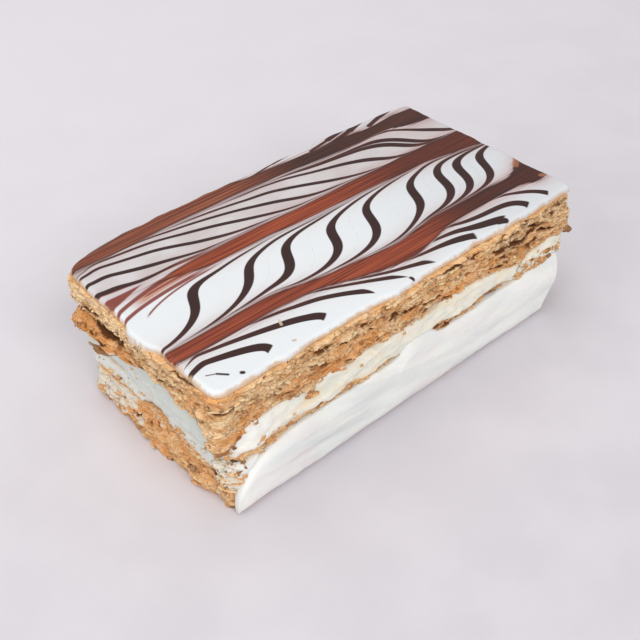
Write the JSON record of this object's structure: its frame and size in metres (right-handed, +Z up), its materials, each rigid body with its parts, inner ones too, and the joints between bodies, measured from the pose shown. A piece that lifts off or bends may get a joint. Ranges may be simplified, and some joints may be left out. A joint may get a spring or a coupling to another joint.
{
  "type": "mille feuille slice",
  "caption": "Rectangular slice of layered puff pastry and cream, with a smooth icing top marbled with feathered chocolate lines.",
  "frame": {"origin": "centre of the slice's box, on the surface that it stands on", "axes": "+X along the slice to its right end, -Y towards the front long side with the smeared cream, +Z up"},
  "size_m": [0.117, 0.0626, 0.0371],
  "materials": {
    "pastry": "dry baked crust, flaky and crumbly",
    "whipped_cream": "smooth soft cream, satin",
    "custard_cream": "soft cream with crumbs, satin",
    "icing": "set fondant, glossy"
  },
  "bodies": {
    "root": {"bottom_pastry": "pastry", "lower_cream": "whipped_cream", "middle_pastry": "pastry", "upper_cream": "custard_cream", "top_pastry": "pastry", "icing": "icing"}
  },
  "joints": []
}
